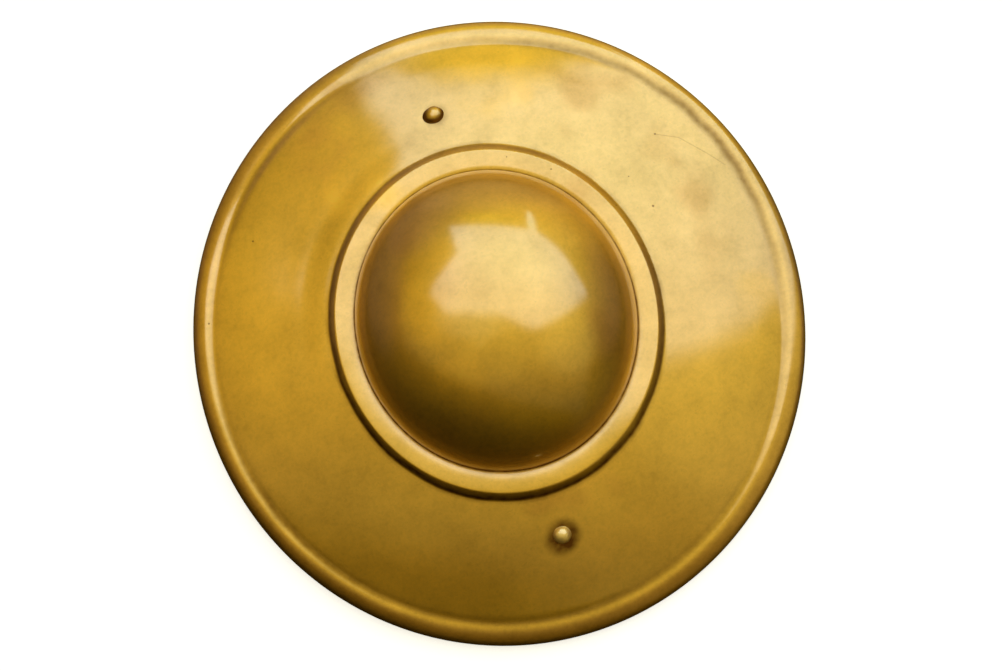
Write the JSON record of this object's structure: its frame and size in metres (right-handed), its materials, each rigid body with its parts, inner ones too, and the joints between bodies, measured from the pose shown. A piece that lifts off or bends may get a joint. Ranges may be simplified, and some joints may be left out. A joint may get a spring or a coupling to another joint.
{
  "type": "buckler shield",
  "caption": "Small round hand shield of raised brass: a deep boss over a riveted grip bar, a raised ring, a dished plate and a rolled rim.",
  "frame": {"origin": "centre of the rim's rest ring, on the surface that the buckler lies on face up", "axes": "+Z out of the front of the boss, +Y along the grip bar, +X across it"},
  "size_m": [0.3248, 0.3352, 0.0845],
  "materials": {
    "sheet": "burnished by hand, satin, with brown patina in the folds",
    "grip": "forged, dull brown with worn edges",
    "rivet": "hammered dome, satin"
  },
  "bodies": {
    "root": {"shield_sheet": "sheet", "grip_bar": "grip", "rivet_upper": "rivet", "rivet_lower": "rivet"}
  },
  "joints": []
}
